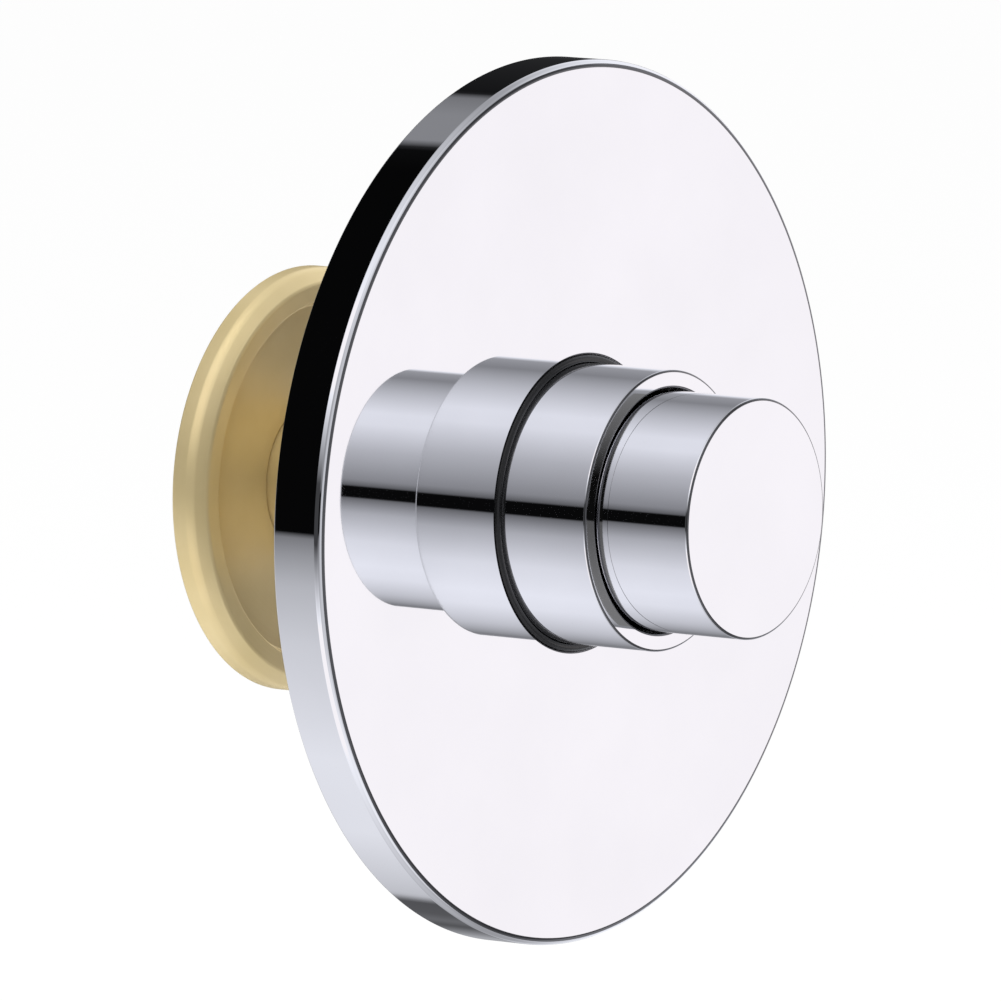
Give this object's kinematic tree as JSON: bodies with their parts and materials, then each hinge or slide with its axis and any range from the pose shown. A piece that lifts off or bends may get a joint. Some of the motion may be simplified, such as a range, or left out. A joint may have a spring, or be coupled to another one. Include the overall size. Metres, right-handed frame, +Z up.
{
  "type": "concealed push-button shower valve",
  "caption": "Concealed shower valve: round chrome cover plate with a sleeve and a sprung push button, on a brass body with rear inlet, top outlet and dished wall flange.",
  "frame": {"origin": "centre of the wall flange's rear face, at the mouth of the inlet", "axes": "+Y along the valve's axis towards the wall, so the button faces -Y; +Z up, out of the outlet branch"},
  "size_m": [0.15, 0.0948, 0.15],
  "materials": {
    "brass": "turned, satin",
    "chrome": "mirror-polished plating",
    "steel": "bright drawn",
    "rubber": "matt",
    "white_plastic": "moulded",
    "black_plastic": "moulded"
  },
  "bodies": {
    "fixed_valve": {"wall_flange": "brass", "valve_body": "brass", "inlet_strainer": "steel", "valve_seat": "steel", "seat_seal": "rubber", "rod_guide": "white_plastic", "guide_seal": "rubber", "rod_seal": "rubber", "gland_nut": "brass", "return_spring": "steel", "sleeve": "chrome", "sleeve_grub_screw": "steel", "button_guide_ring": "black_plastic", "plate_seal": "rubber", "cover_plate": "chrome", "plate_gasket": "rubber"},
    "button_assembly": {"push_button": "chrome", "button_carrier": "black_plastic", "button_snap_ring": "steel", "carrier_screw": "steel", "valve_rod": "steel", "closing_head": "brass", "head_washer": "rubber", "head_nut": "brass"}
  },
  "joints": [
    {"name": "button_press", "type": "slide", "parent": "fixed_valve", "child": "button_assembly", "axis": [0, 1, 0], "range_m": [0, 0.006], "stiffness_N_per_m": 500, "springref_m": -0.02, "deforming": ["return_spring"]}
  ]
}
